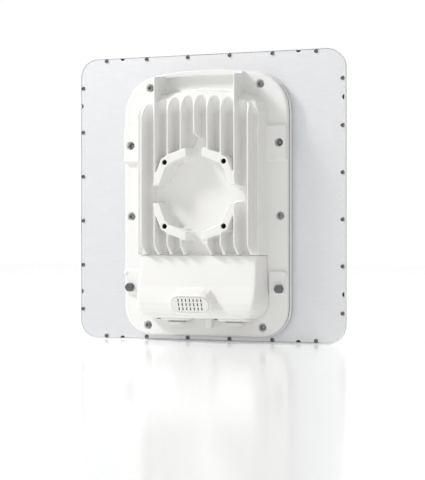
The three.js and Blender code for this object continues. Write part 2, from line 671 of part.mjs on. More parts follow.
function electronics() {
  const boardRear = -12.2;
  const boardFront = -10.6;
  const board = block(-74, 74, boardRear, boardFront, 116, 290);
  const boardHoles = boardScrewPlaces.map(([x, z]) => rod(1.5, 3, 6, '+y', x, boardRear - 0.7, z));
  addPiece('main_board', cut(board, ...boardHoles), circuitBoard);
  const boardScrew = [[0, -6.4], [1.2, -6.4], [1.2, gap], [2.6, gap], [2.6, 1.9], [0, 1.9]];
  boardScrewPlaces.forEach(([x, z], i) => addPiece(
    `board_screw_${i + 1}`, turned(boardScrew, 8, '+y', x, boardFront, z), steel));
  addPiece('radio_shield', block(-40, 40, boardFront + gap, -7.2, 244, 280), tinned);
  addPiece('processor', block(-14, 14, -14.6, boardRear - gap, 170, 198), blackPlastic);
  addPiece('thermal_pad', block(-12, 12, -19.6, -14.9, 172, 196), finish(0x8fa3b5, 0.8));
  for (const [side, x] of [['left', -34], ['right', 34]]) {
    addPiece(`${side}_power_amplifier`, block(x - 5, x + 5, -14, boardRear - gap, 234, 244), blackPlastic);
    addPiece(`${side}_amplifier_pad`, block(x - 5, x + 5, -19.6, -14.3, 234, 244), tinned);
  }
  addPiece('power_converter', block(-62, -32, -19.4, boardRear - gap, 128, 158), blackPlastic);
  addPiece('port_board', block(-64, 64, -18.6, -17, 42, 104), circuitBoard);
  addPiece('surge_arrestor', rod(4, 7, 10, '-y', 10, -18.9, 78), tinned);
  addPiece('board_link', block(-30, 30, -16.7, -14.6, 98, 104).add(
    block(-30, 30, -16.7, -12.9, 104, 107)).add(block(-30, 30, -14.6, -12.5, 104, 122)), blackPlastic);
  const jack = (x, half, y0, y1, z0, z1, bore) => cut(
    block(x - half, x + half, y0, y1, z0, z1),
    block(x - bore, x + bore, y0 + 2.4, y1 - 3, z0 - 1, z1 - 5));
  addPiece('ethernet_jack', jack(ports.left.x, 8, -34, -18.9, 41, 60, 6), tinned);
  addPiece('fibre_module_cage', jack(ports.right.x, 7.4, -30.4, -18.9, 41, 84, 6), tinned);
}

// ---------- assembly ----------

antennaPlate();
radome();
radomeSeal();
antennaStack();
antennaScrews();
feedBullets();
frontShell();
housingGasket();
rearHousing();
housingScrews();
connectorHood();
hoodScrews();
soundGrille();
portPlugs();
groundScrews();
electronics();

const outdoorWirelessBridge = new THREE.Group();
outdoorWirelessBridge.add(panel);
panel.position.set(0, -ringRear, -ringHeight);

export default outdoorWirelessBridge;
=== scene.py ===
# Outdoor wireless bridge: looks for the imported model.
# Sizes in the dictionaries are millimetres, and mm turns them to scene metres.

import json
import math

import bmesh
import bpy
from mathutils import Euler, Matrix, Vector

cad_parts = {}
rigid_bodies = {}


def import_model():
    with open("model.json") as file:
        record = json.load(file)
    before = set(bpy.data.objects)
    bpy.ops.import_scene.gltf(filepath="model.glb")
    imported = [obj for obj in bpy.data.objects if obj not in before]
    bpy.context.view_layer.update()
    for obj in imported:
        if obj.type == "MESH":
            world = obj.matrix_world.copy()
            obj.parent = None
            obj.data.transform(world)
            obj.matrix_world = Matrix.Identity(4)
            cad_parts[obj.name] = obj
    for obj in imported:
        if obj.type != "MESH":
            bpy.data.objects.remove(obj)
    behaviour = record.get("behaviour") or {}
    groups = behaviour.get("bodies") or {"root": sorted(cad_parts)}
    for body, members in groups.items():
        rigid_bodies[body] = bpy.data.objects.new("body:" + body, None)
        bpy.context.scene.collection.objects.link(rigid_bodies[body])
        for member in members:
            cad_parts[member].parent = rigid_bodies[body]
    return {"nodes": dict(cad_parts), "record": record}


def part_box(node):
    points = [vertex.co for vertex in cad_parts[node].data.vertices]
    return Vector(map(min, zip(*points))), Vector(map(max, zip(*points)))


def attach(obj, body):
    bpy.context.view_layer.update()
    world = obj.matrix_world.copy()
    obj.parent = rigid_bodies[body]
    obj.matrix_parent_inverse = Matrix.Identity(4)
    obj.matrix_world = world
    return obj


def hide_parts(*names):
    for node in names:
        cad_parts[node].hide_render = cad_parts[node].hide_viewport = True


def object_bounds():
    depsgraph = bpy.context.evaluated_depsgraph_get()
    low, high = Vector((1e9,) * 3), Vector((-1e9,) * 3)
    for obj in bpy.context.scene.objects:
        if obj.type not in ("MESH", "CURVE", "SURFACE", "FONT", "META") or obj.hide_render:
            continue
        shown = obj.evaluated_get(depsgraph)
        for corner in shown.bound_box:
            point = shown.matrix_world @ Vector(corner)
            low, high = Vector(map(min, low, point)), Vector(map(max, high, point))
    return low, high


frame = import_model()
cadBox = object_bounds()
nodes = frame["nodes"]
mm = 0.001

ringHeight = 188.4  # mounting ring's centre above the panel's bottom edge
ringDepth = 47.6    # ring's pad plane behind the antenna plate
rootBody = "bridge"


# A point given across, behind the plate (negative) and up from the panel's bottom edge.
def place(x, y, z):
    return Vector((x, y + ringDepth, z - ringHeight)) * mm


def boxCentre(node):
    low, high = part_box(node)
    return (low + high) / 2


# ---- camera, floor and light ----

studio = {
    "cameraPlace": (817.0, -1902.2, 130.4),
    "cameraTurn": 23.1,
    "lens": 120.6,
    "worldColour": "#ffffff",
    "shadeStrength": 0.13,      # soft room light behind the panel
    "brightStrength": 0.74,     # and on the side that the camera sees
    "brightSide": (0.0, -0.993, 0.119),
    "backdropStrength": 1.03,
    "keyPlace": (-1710, -950, 1890),
    "keySize": 0.5,
    "keyPower": 45,
    "fillPlace": (-700, 2600, 1500),   # lights the radome's face only
    "fillSize": 2.0,
    "fillPower": 24,
    "floorReach": 6.0,          # metres each way
    "floorColour": "#fbfbfb",
    "floorRoughness": 0.13,
    "floorShine": 0.2,
    "floorGlow": 0.14,          # white acrylic table, lit from below
}


# sRGB hex to linear colour
def colour(code):
    parts = [int(code[i:i + 2], 16) / 255 for i in (1, 3, 5)]
    return tuple(c / 12.92 if c <= 0.04045 else ((c + 0.055) / 1.055) ** 2.4 for c in parts) + (1.0,)


# Adds a node; settings are its properties, inputs are values or sockets to link.
def addNode(tree, kind, settings=None, inputs=None):
    node = tree.nodes.new(kind)
    for key, value in (settings or {}).items():
        setattr(node, key, value)
    for key, value in (inputs or {}).items():
        socket = node.inputs[key]
        if isinstance(value, bpy.types.NodeSocket):
            tree.links.new(value, socket)
        else:
            socket.default_value = value
    return node


def newMaterial(name):
    material = bpy.data.materials.new(name)
    material.use_nodes = True
    material.node_tree.nodes.clear()
    return material, material.node_tree


def addArea(name, spot, size, power, aim):
    lamp = bpy.data.lights.new(name, "AREA")
    lamp.shape = "DISK"
    lamp.size = size
    lamp.energy = power
    lampObject = bpy.data.objects.new(name, lamp)
    lampObject.location = place(*spot)
    lampObject.rotation_euler = (aim - lampObject.location).to_track_quat("-Z", "Y").to_euler()
    bpy.context.collection.objects.link(lampObject)


def makeStudio():
    camera = bpy.data.cameras.new("photoCamera")
    camera.lens = studio["lens"]
    camera.sensor_width = 36
    camera.clip_start = 0.05
    cameraObject = bpy.data.objects.new("photoCamera", camera)
    cameraObject.location = place(*studio["cameraPlace"])
    cameraObject.rotation_euler = Euler((math.radians(90), 0, math.radians(studio["cameraTurn"])))
    bpy.context.collection.objects.link(cameraObject)
    bpy.context.scene.camera = cameraObject
    bpy.context.scene.view_settings.view_transform = "Standard"

    middle = (cadBox[0] + cadBox[1]) / 2
    addArea("keyLight", studio["keyPlace"], studio["keySize"], studio["keyPower"], middle)
    addArea("fillLight", studio["fillPlace"], studio["fillSize"], studio["fillPower"], middle)

    world = bpy.data.worlds.new("softStudio")
    bpy.context.scene.world = world
    world.use_nodes = True
    tree = world.node_tree
    tree.nodes.clear()
    path = addNode(tree, "ShaderNodeLightPath")
    seen = addNode(tree, "ShaderNodeMath", {"operation": "MAXIMUM"}, {
        0: path.outputs["Is Camera Ray"], 1: path.outputs["Is Glossy Ray"]})
    heading = addNode(tree, "ShaderNodeTexCoord").outputs["Generated"]
    side = addNode(tree, "ShaderNodeVectorMath", {"operation": "DOT_PRODUCT"}, {
        0: heading, 1: studio["brightSide"]}).outputs["Value"]
    room = addNode(tree, "ShaderNodeMapRange", {}, {
        "Value": side, "From Min": -1.0, "From Max": 1.0,
        "To Min": studio["shadeStrength"], "To Max": studio["brightStrength"]})
    strength = addNode(tree, "ShaderNodeMapRange", {}, {
        "Value": seen.outputs["Value"],
        "To Min": room.outputs["Result"], "To Max": studio["backdropStrength"]})
    backdrop = addNode(tree, "ShaderNodeBackground", {}, {
        "Color": colour(studio["worldColour"]), "Strength": strength.outputs["Result"]})
    addNode(tree, "ShaderNodeOutputWorld", {}, {"Surface": backdrop.outputs["Background"]})

    floorMesh = bpy.data.meshes.new("floor")
    reach = studio["floorReach"]
    corners = [(x * reach, y * reach, cadBox[0].z) for x, y in ((-1, -1), (1, -1), (1, 1), (-1, 1))]
    floorMesh.from_pydata(corners, [], [(0, 1, 2, 3)])
    floor = bpy.data.objects.new("floor", floorMesh)
    bpy.context.collection.objects.link(floor)
    material, tree = newMaterial("glossyWhiteTable")
    surface = addNode(tree, "ShaderNodeBsdfPrincipled", {}, {
        "Base Color": colour(studio["floorColour"]), "Roughness": studio["floorRoughness"],
        "Specular IOR Level": studio["floorShine"],
        "Emission Color": colour(studio["floorColour"]), "Emission Strength": studio["floorGlow"]})
    addNode(tree, "ShaderNodeOutputMaterial", {}, {"Surface": surface.outputs["BSDF"]})
    floorMesh.materials.append(material)
    print("studio: camera, two soft lights, floor")


# ---- materials ----

paintLook = {
    "colour": "#efeeec", "shade": "#e9e9e6", "roughness": 0.45, "grain": 0.9, "grainHeight": 0.035,
    "cloud": 45,
}
plateLook = {
    "colour": "#dfe0e2", "dark": "#d3d4d6", "roughness": 0.5, "grainLength": 24, "grainDepth": 3,
    "grainWidth": 0.55, "blotch": 2.2,
}
radomeLook = {"colour": "#f3f3f2", "shade": "#ebebe9", "roughness": 0.34, "grain": 1.6}


# Polyester powder coat on a casting: satin, with a fine orange peel that breaks up the gloss.
def powderCoat():
    material, tree = newMaterial("powderCoatedCasting")
    spot = addNode(tree, "ShaderNodeTexCoord").outputs["Object"]
    peel = addNode(tree, "ShaderNodeTexNoise", {}, {
        "Vector": spot, "Scale": 1 / (paintLook["grain"] * mm), "Detail": 2.0, "Roughness": 0.5})
    cloud = addNode(tree, "ShaderNodeTexNoise", {}, {
        "Vector": spot, "Scale": 1 / (paintLook["cloud"] * mm), "Detail": 3.0, "Roughness": 0.6})
    tint = addNode(tree, "ShaderNodeMix", {"data_type": "RGBA"}, {
        0: cloud.outputs["Fac"], 6: colour(paintLook["colour"]), 7: colour(paintLook["shade"])})
    gloss = addNode(tree, "ShaderNodeMapRange", {}, {
        "Value": peel.outputs["Fac"], "To Min": paintLook["roughness"] - 0.05,
        "To Max": paintLook["roughness"] + 0.07})
    bump = addNode(tree, "ShaderNodeBump", {}, {
        "Height": peel.outputs["Fac"], "Strength": 0.35, "Distance": paintLook["grainHeight"] * mm})
    surface = addNode(tree, "ShaderNodeBsdfPrincipled", {}, {
        "Base Color": tint.outputs[2], "Roughness": gloss.outputs["Result"],
        "IOR": 1.5, "Normal": bump.outputs["Normal"]})
    addNode(tree, "ShaderNodeOutputMaterial", {}, {"Surface": surface.outputs["BSDF"]})
    return material


# Brushed aluminium sheet: long fine scratches along X, bright with a soft streaky sheen.
def brushedAluminium():
    material, tree = newMaterial("brushedAluminiumSheet")
    spot = addNode(tree, "ShaderNodeTexCoord").outputs["Object"]
    grain = [1 / (plateLook[size] * mm) for size in ("grainLength", "grainDepth", "grainWidth")]
    stretched = addNode(tree, "ShaderNodeMapping", {}, {"Vector": spot, "Scale": grain})
    scratches = addNode(tree, "ShaderNodeTexNoise", {}, {
        "Vector": stretched.outputs["Vector"], "Scale": 1.0, "Detail": 4.0, "Roughness": 0.65})
    blotch = addNode(tree, "ShaderNodeTexNoise", {}, {
        "Vector": spot, "Scale": 1 / (plateLook["blotch"] * mm), "Detail": 3.0, "Roughness": 0.7})
    both = addNode(tree, "ShaderNodeMath", {"operation": "MULTIPLY_ADD"}, {
        0: blotch.outputs["Fac"], 1: 0.5, 2: scratches.outputs["Fac"]})
    tone = addNode(tree, "ShaderNodeMapRange", {}, {
        "Value": both.outputs["Value"], "From Min": 0.45, "From Max": 1.05})
    tint = addNode(tree, "ShaderNodeMix", {"data_type": "RGBA"}, {
        0: tone.outputs["Result"], 6: colour(plateLook["dark"]), 7: colour(plateLook["colour"])})
    gloss = addNode(tree, "ShaderNodeMapRange", {}, {
        "Value": scratches.outputs["Fac"], "To Min": plateLook["roughness"] - 0.1,
        "To Max": plateLook["roughness"] + 0.14})
    bump = addNode(tree, "ShaderNodeBump", {}, {
        "Height": scratches.outputs["Fac"], "Strength": 0.4, "Distance": 0.02 * mm})
    surface = addNode(tree, "ShaderNodeBsdfPrincipled", {}, {
        "Base Color": tint.outputs[2], "Metallic": 1.0, "Roughness": gloss.outputs["Result"],
        "Normal": bump.outputs["Normal"]})
    addNode(tree, "ShaderNodeOutputMaterial", {}, {"Surface": surface.outputs["BSDF"]})
    return material


# Moulded ASA: white, slightly glossy, with the faint spark texture of the tool.
def mouldedAsa():
    material, tree = newMaterial("mouldedAsa")
    spot = addNode(tree, "ShaderNodeTexCoord").outputs["Object"]
    spark = addNode(tree, "ShaderNodeTexNoise", {}, {
        "Vector": spot, "Scale": 1 / (radomeLook["grain"] * mm), "Detail": 3.0})
    tint = addNode(tree, "ShaderNodeMix", {"data_type": "RGBA"}, {
        0: spark.outputs["Fac"], 6: colour(radomeLook["colour"]), 7: colour(radomeLook["shade"])})
    bump = addNode(tree, "ShaderNodeBump", {}, {
        "Height": spark.outputs["Fac"], "Strength": 0.25, "Distance": 0.03 * mm})
    surface = addNode(tree, "ShaderNodeBsdfPrincipled", {}, {
        "Base Color": tint.outputs[2], "Roughness": radomeLook["roughness"], "IOR": 1.52,
        "Normal": bump.outputs["Normal"]})
    addNode(tree, "ShaderNodeOutputMaterial", {}, {"Surface": surface.outputs["BSDF"]})
    return material


# Each simple finish: base and second colour, roughness, metallic, grain in mm, bump in mm.
simpleLooks = {
    "stainlessScrew": ("#8e8f91", "#6f7073", 0.22, 1.0, 0.8, 0.02),
    "zincSteel": ("#77787a", "#5d5e60", 0.36, 1.0, 0.6, 0.02),
    "blackenedSteel": ("#77787b", "#5c5d60", 0.32, 1.0, 0.7, 0.03),
    "tinPlate": ("#c9c9c6", "#b5b5b1", 0.28, 1.0, 2.5, 0.02),
    "siliconeRubber": ("#3a3b3d", "#2c2d2f", 0.7, 0.0, 0.9, 0.05),
    "greySilicone": ("#c4c5c2", "#b4b5b2", 0.6, 0.0, 0.9, 0.05),
    "blackNylon": ("#232425", "#1a1b1c", 0.5, 0.0, 0.6, 0.04),
    "greyNylon": ("#e1e1de", "#d6d6d3", 0.46, 0.0, 0.6, 0.04),
    "whiteNylon": ("#f0efeb", "#e8e7e2", 0.44, 0.0, 0.7, 0.03),
    "solderMask": ("#1c5a38", "#174c2f", 0.35, 0.0, 3.0, 0.02),
    "polyFoam": ("#f1efe6", "#e2dfd3", 0.95, 0.0, 0.5, 0.2),
    "goldFlash": ("#d6ae58", "#c39a45", 0.25, 1.0, 1.0, 0.01),
    # tapped-hole sleeve: unpainted thread metal, darkened well beyond bare metal as painted shade of the
    # deep blind holes
    "tappedMetalPaintedShade": ("#3c3b39", "#272625", 0.55, 0.7, 0.6, 0.03),
    "gapPad": ("#90a4b6", "#8496a7", 0.8, 0.0, 0.4, 0.06),
    "foilFilm": ("#cbb98f", "#bca97e", 0.35, 0.6, 6.0, 0.01),
    "breatherMembrane": ("#232324", "#19191a", 0.9, 0.0, 0.3, 0.05),
}


def simpleFinish(name):
    base, second, roughness, metallic, grain, height = simpleLooks[name]
    material, tree = newMaterial(name)
    spot = addNode(tree, "ShaderNodeTexCoord").outputs["Object"]
    texture = addNode(tree, "ShaderNodeTexNoise", {}, {
        "Vector": spot, "Scale": 1 / (grain * mm), "Detail": 3.0, "Roughness": 0.6})
    tint = addNode(tree, "ShaderNodeMix", {"data_type": "RGBA"}, {
        0: texture.outputs["Fac"], 6: colour(base), 7: colour(second)})
    gloss = addNode(tree, "ShaderNodeMapRange", {}, {
        "Value": texture.outputs["Fac"], "To Min": roughness - 0.06, "To Max": roughness + 0.06})
    bump = addNode(tree, "ShaderNodeBump", {}, {
        "Height": texture.outputs["Fac"], "Strength": 0.4, "Distance": height * mm})
    surface = addNode(tree, "ShaderNodeBsdfPrincipled", {}, {
        "Base Color": tint.outputs[2], "Metallic": metallic, "Roughness": gloss.outputs["Result"],
        "Normal": bump.outputs["Normal"]})
    addNode(tree, "ShaderNodeOutputMaterial", {}, {"Surface": surface.outputs["BSDF"]})
    return material


def makeMaterials():
    finishes = {name: simpleFinish(name) for name in simpleLooks}
    finishes["powderCoat"] = powderCoat()
    finishes["brushedAluminium"] = brushedAluminium()
    finishes["asa"] = mouldedAsa()
    print("materials:", len(finishes))
    return finishes


# Which finish each packed slot gets on the pieces that keep their own shape.
slotFinish = {
    "housing_paint": "powderCoat", "radome_plastic": "asa", "plate_aluminium": "brushedAluminium",
    "screw_steel": "stainlessScrew", "dark_steel": "blackenedSteel", "tinned_steel": "tinPlate",
    "patch_film": "foilFilm", "thermal_pad_rubber": "gapPad", "seal_rubber": "siliconeRubber",
    "circuit_board": "solderMask", "spacer_foam": "polyFoam", "contact_brass": "goldFlash",
    "grille_plastic": "whiteNylon", "black_plastic": "blackNylon", "plug_plastic": "greyNylon",
    "seal_silicone": "greySilicone",
}


def finishFrame(finishes):
    for part in frame["record"]["subparts"]:
        mesh = nodes[part["node"]].data
        mesh.materials.clear()
        mesh.materials.append(finishes[slotFinish[part["material_slot"]]])
    nodes["sound_membrane"].data.materials[0] = finishes["breatherMembrane"]


# ---- making pieces ----

def addPiece(name, mesh, material, body, stands=()):
    piece = bpy.data.objects.new(name, mesh)
    bpy.context.collection.objects.link(piece)
    mesh.materials.clear()
    mesh.materials.append(material)
    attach(piece, body)
    if stands:
        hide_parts(*stands)
    return piece


# Applies modifiers to a copy of a mesh and returns the plain result.
def worked(mesh, *modifiers):
    temp = bpy.data.objects.new("temp", mesh)
    bpy.context.collection.objects.link(temp)
    for kind, settings in modifiers:
        modifier = temp.modifiers.new(kind, kind)
        for key, value in settings.items():
            setattr(modifier, key, value)
    bpy.context.view_layer.update()
    depsgraph = bpy.context.evaluated_depsgraph_get()
    result = bpy.data.meshes.new_from_object(temp.evaluated_get(depsgraph))
    bpy.data.objects.remove(temp)
    return result


def mergedCopy(node):
    mesh = nodes[node].data.copy()
    mesh.transform(nodes[node].matrix_world)
    work = bmesh.new()
    work.from_mesh(mesh)
    bmesh.ops.remove_doubles(work, verts=work.verts, dist=0.002 * mm)
    work.to_mesh(mesh)
    work.free()
    return mesh


# A casting's skin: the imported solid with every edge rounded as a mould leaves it.
def castSkin(node, voxel, passes, triangles):
    rough = worked(mergedCopy(node), ("REMESH", {
        "mode": "VOXEL", "voxel_size": voxel * mm, "adaptivity": 0.0}))
    smooth = worked(rough, ("SMOOTH", {"factor": 0.5, "iterations": passes}))
    count = sum(len(face.vertices) - 2 for face in smooth.polygons)
    if count > triangles:
        smooth = worked(smooth, ("DECIMATE", {"ratio": triangles / count}))
    smooth.shade_smooth()
    print(node, "skin:", count, "to", sum(len(face.vertices) - 2 for face in smooth.polygons))
    return smooth


# Each casting: voxel in mm, smoothing passes, most triangles.
castings = {
    "rear_housing": (0.85, 3, 190000),
    "connector_hood": (0.8, 4, 90000),
    "front_shell": (1.0, 2, 60000),
}


def makeCastings(finishes):
    paint = finishes["powderCoat"]
    for node, (voxel, passes, triangles) in castings.items():
        addPiece(node + "_casting", castSkin(node, voxel, passes, triangles), paint,
                 rootBody, (node,))
    print("castings done")


# ---- antenna panel ----

panelSizes = {
    "side": 371, "corner": 25, "leastCorner": 4, "lip": 1.5, "fit": 0.3, "plateThick": 2, "cornerSteps": 18,
    "notchAlong": 123, "notchRadius": 3.5, "notchDepth": 2.8, "screwPitch": 58.62, "screwInset": 4,
}


# Rounded square at an inset from the panel's outer edge, as (x, z) points.
def panelLoop(inset):
    middle = panelSizes["side"] / 2
    radius = max(panelSizes["corner"] - inset, panelSizes["leastCorner"])
    straight = middle - inset - radius
    steps = panelSizes["cornerSteps"]
    points = []
    for turn, (across, up) in enumerate(((1, -1), (1, 1), (-1, 1), (-1, -1))):
        for step in range(steps + 1):
            angle = math.radians(90 * (turn - 1) + 90 * step / steps)
            points.append((straight * across + radius * math.cos(angle),
                           middle + straight * up + radius * math.sin(angle)))
    return points


# Skin through rings of equal length, its first and last rings filled.
def ringSkin(name, rings, sharp=30):
    work = bmesh.new()
    rows = [[work.verts.new(point) for point in ring] for ring in rings]
    for row, above in zip(rows, rows[1:]):
        for i in range(len(row)):
            j = (i + 1) % len(row)
            work.faces.new((row[i], row[j], above[j], above[i]))
    work.faces.new(list(reversed(rows[0])))
    work.faces.new(rows[-1])
    bmesh.ops.recalc_face_normals(work, faces=work.faces)
    mesh = bpy.data.meshes.new(name)
    work.to_mesh(mesh)
    work.free()
    mesh.shade_smooth()
    mesh.set_sharp_from_angle(angle=math.radians(sharp))
    return mesh


# Depth and inset of each ring of the radome, from inside its hollow round the lip to its front.
radomeRings = [
    (12, 15.6), (8.5, 3.2), (1.5, 3.2), (1.5, -0.35), (1.35, -0.52), (1.1, -0.6), (0.6, -0.6),
    (0.3, -0.5), (0.08, -0.2), (0, 0.3), (0, 4.6), (0.25, 5.2), (0.9, 6), (7, 15), (8, 16.3),
    (9.2, 17.2), (10.4, 17.75), (12, 18),
]


def makeRadome(finishes):
    mesh = ringSkin("radomeMoulding", [
        [place(x, depth, z) for x, z in panelLoop(inset)] for inset, depth in radomeRings], 42)
    addPiece("radomeMoulding", mesh, finishes["asa"], rootBody, ("radome",))


def makePlate(finishes):
    edge = panelSizes["lip"] + panelSizes["fit"]
    thick = panelSizes["plateThick"]
    chamfer = 0.2
    mesh = ringSkin("plateSheet", [
        [place(x, depth, z) for x, z in panelLoop(inset)] for inset, depth in (
            (edge + chamfer, 0), (edge, chamfer), (edge, thick - chamfer), (edge + chamfer, thick))], 20)
    reach = panelSizes["side"] / 2 - edge - panelSizes["notchDepth"] + panelSizes["notchRadius"]
    middle = panelSizes["side"] / 2
    cutters = []
    for along in (-panelSizes["notchAlong"], panelSizes["notchAlong"]):
        for x, z in ((along, -reach), (along, reach), (-reach, along), (reach, along)):
            cutters.append(turnedRings([(panelSizes["notchRadius"], -1), (panelSizes["notchRadius"], 3)],
                                       32, "+y", (x, 0, z + middle)))
    sheet = carved(mesh, cutters, "DIFFERENCE")
    sheet.set_sharp_from_angle(angle=math.radians(20))
    addPiece("plateSheet", sheet, finishes["brushedAluminium"], rootBody,
             ("antenna_plate",))
    print("panel: radome and plate")


# Rings of a turned shape about an axis; profile gives (radius, along), away from the plate for -y.
def turnedRings(profile, steps, direction, centre, firstAngle=0.0):
    rings = []
    for radius, along in profile:
        ring = []
        for i in range(steps):
            angle = firstAngle + 2 * math.pi * i / steps
            a, b = radius * math.cos(angle), radius * math.sin(angle)
            offset = {"-y": (a, -along, b), "+y": (a, along, b), "-z": (a, b, -along)}[direction]
            ring.append(place(*(c + o for c, o in zip(centre, offset))))
        rings.append(ring)
    return ringSkin("turned", rings, 32)


# Joins or cuts a mesh with others, exactly.
def carved(mesh, cutters, operation):
    tool = bpy.data.collections.new("cutters")
    bpy.context.scene.collection.children.link(tool)
    for cutter in cutters:
        tool.objects.link(bpy.data.objects.new("cutter", cutter))
    result = worked(mesh, ("BOOLEAN", {
        "operand_type": "COLLECTION", "collection": tool, "operation": operation, "solver": "EXACT"}))
    for cutter in list(tool.objects):
        bpy.data.objects.remove(cutter)
    bpy.data.collections.remove(tool)
    return result


# ---- screws: one Geometry Nodes tree for every row of them ----

screwInputs = [
    ("Head Radius", "NodeSocketFloat"), ("Head Height", "NodeSocketFloat"),
    ("Chamfer", "NodeSocketFloat"), ("Dome", "NodeSocketFloat"), ("Socket Radius", "NodeSocketFloat"),
    ("Socket Depth", "NodeSocketFloat"), ("Shank Radius", "NodeSocketFloat"),
    ("Shank Length", "NodeSocketFloat"), ("Seed", "NodeSocketInt"), ("Material", "NodeSocketMaterial"),
]
perimeterScrew = {
    "Head Radius": 2.6, "Head Height": 1.5, "Chamfer": 0.4, "Dome": 0.25, "Socket Radius": 1.25,
    "Socket Depth": 1.0, "Shank Radius": 1.4, "Shank Length": 1.2, "Seed": 4,
}
housingScrew = {
    "Head Radius": 3.7, "Head Height": 3.4, "Chamfer": 0.8, "Dome": 0.7, "Socket Radius": 1.9,
    "Socket Depth": 2.2, "Shank Radius": 1.5, "Shank Length": 6.5, "Seed": 11,
}


# Socket cap screws on points: a chamfered head with a hexagon socket, spun at random about its axis.
def screwTree():
    tree = bpy.data.node_groups.new("socketScrews", "GeometryNodeTree")
    tree.interface.new_socket(name="Points", in_out="INPUT", socket_type="NodeSocketGeometry")
    for name, kind in screwInputs:
        tree.interface.new_socket(name=name, in_out="INPUT", socket_type=kind)
    tree.interface.new_socket(name="Screws", in_out="OUTPUT", socket_type="NodeSocketGeometry")
    given = addNode(tree, "NodeGroupInput").outputs

    def calculate(operation, first, second):
        return addNode(tree, "ShaderNodeMath", {"operation": operation}, {0: first, 1: second}).outputs[0]

    def moved(mesh, height):
        spot = addNode(tree, "ShaderNodeCombineXYZ", {}, {"Z": height}).outputs["Vector"]
        return addNode(tree, "GeometryNodeTransform", {}, {
            "Geometry": mesh, "Translation": spot}).outputs["Geometry"]

    bodyHeight = calculate("SUBTRACT", calculate(
        "SUBTRACT", given["Head Height"], given["Chamfer"]), given["Dome"])
    body = addNode(tree, "GeometryNodeMeshCone", {}, {
        "Vertices": 28, "Radius Top": given["Head Radius"], "Radius Bottom": given["Head Radius"],
        "Depth": bodyHeight})
    crown = addNode(tree, "GeometryNodeExtrudeMesh", {"mode": "FACES"}, {
        "Mesh": body.outputs["Mesh"], "Selection": body.outputs["Top"], "Offset Scale": given["Chamfer"]})
    narrow = calculate("SUBTRACT", 1.0, calculate("DIVIDE", given["Chamfer"], given["Head Radius"]))
    shoulder = addNode(tree, "GeometryNodeScaleElements", {}, {
        "Geometry": crown.outputs["Mesh"], "Selection": crown.outputs["Top"], "Scale": narrow})
    crownScale = 0.74
    dome = addNode(tree, "GeometryNodeExtrudeMesh", {"mode": "FACES"}, {
        "Mesh": shoulder.outputs["Geometry"], "Selection": crown.outputs["Top"],
        "Offset Scale": given["Dome"]})
    head = addNode(tree, "GeometryNodeScaleElements", {}, {
        "Geometry": dome.outputs["Mesh"], "Selection": dome.outputs["Top"], "Scale": crownScale})
    intoHead = 0.4 * mm
    shank = addNode(tree, "GeometryNodeMeshCone", {}, {
        "Vertices": 16, "Radius Top": given["Shank Radius"], "Radius Bottom": given["Shank Radius"],
        "Depth": calculate("ADD", given["Shank Length"], intoHead)})
    blank = addNode(tree, "GeometryNodeMeshBoolean", {"operation": "UNION", "solver": "EXACT"}, {
        "Mesh 2": head.outputs["Geometry"]})
    below = calculate("MULTIPLY", given["Shank Length"], -1.0)
    tree.links.new(moved(shank.outputs["Mesh"], below), blank.inputs["Mesh 2"])
    hexagon = addNode(tree, "GeometryNodeMeshCone", {}, {
        "Vertices": 6, "Radius Top": given["Socket Radius"], "Radius Bottom": given["Socket Radius"],
        "Depth": calculate("MULTIPLY", given["Socket Depth"], 2.0)})
    floor = calculate("SUBTRACT", given["Head Height"], given["Socket Depth"])
    screw = addNode(tree, "GeometryNodeMeshBoolean", {"operation": "DIFFERENCE", "solver": "EXACT"}, {
        "Mesh 1": blank.outputs["Mesh"], "Mesh 2": moved(hexagon.outputs["Mesh"], floor)})
    spin = addNode(tree, "FunctionNodeRandomValue", {"data_type": "FLOAT"}, {
        "Max": math.tau, "Seed": given["Seed"]}).outputs[1]
    turn = addNode(tree, "ShaderNodeCombineXYZ", {}, {"X": math.pi / 2, "Y": spin}).outputs["Vector"]
    rows = addNode(tree, "GeometryNodeInstanceOnPoints", {}, {
        "Points": given["Points"], "Instance": screw.outputs["Mesh"], "Rotation": turn})
    real = addNode(tree, "GeometryNodeRealizeInstances", {}, {"Geometry": rows.outputs["Instances"]})
    painted = addNode(tree, "GeometryNodeSetMaterial", {}, {
        "Geometry": real.outputs["Geometry"], "Material": given["Material"]})
    addNode(tree, "NodeGroupOutput", {}, {"Screws": painted.outputs["Geometry"]})
    return tree


# Runs a tree on bare points and returns the plain mesh; millimetre inputs become metres.
def grownOn(tree, points, sizes, material):
    cloud = bpy.data.meshes.new("points")
    cloud.from_pydata(points, [], [])
    temp = bpy.data.objects.new("temp", cloud)
    bpy.context.collection.objects.link(temp)
    modifier = temp.modifiers.new("nodes", "NODES")
    modifier.node_group = tree
    for item in tree.interface.items_tree:
        if item.in_out == "INPUT" and item.name in sizes:
            value = sizes[item.name]
            modifier[item.identifier] = value if isinstance(value, int) else value * mm
        if item.name == "Material":
            modifier[item.identifier] = material
    bpy.context.view_layer.update()
    depsgraph = bpy.context.evaluated_depsgraph_get()
    mesh = bpy.data.meshes.new_from_object(temp.evaluated_get(depsgraph))
    temp.modifiers.remove(modifier)
    bpy.data.objects.remove(temp)
    mesh.shade_smooth()
    mesh.set_sharp_from_angle(angle=math.radians(28))
    return mesh


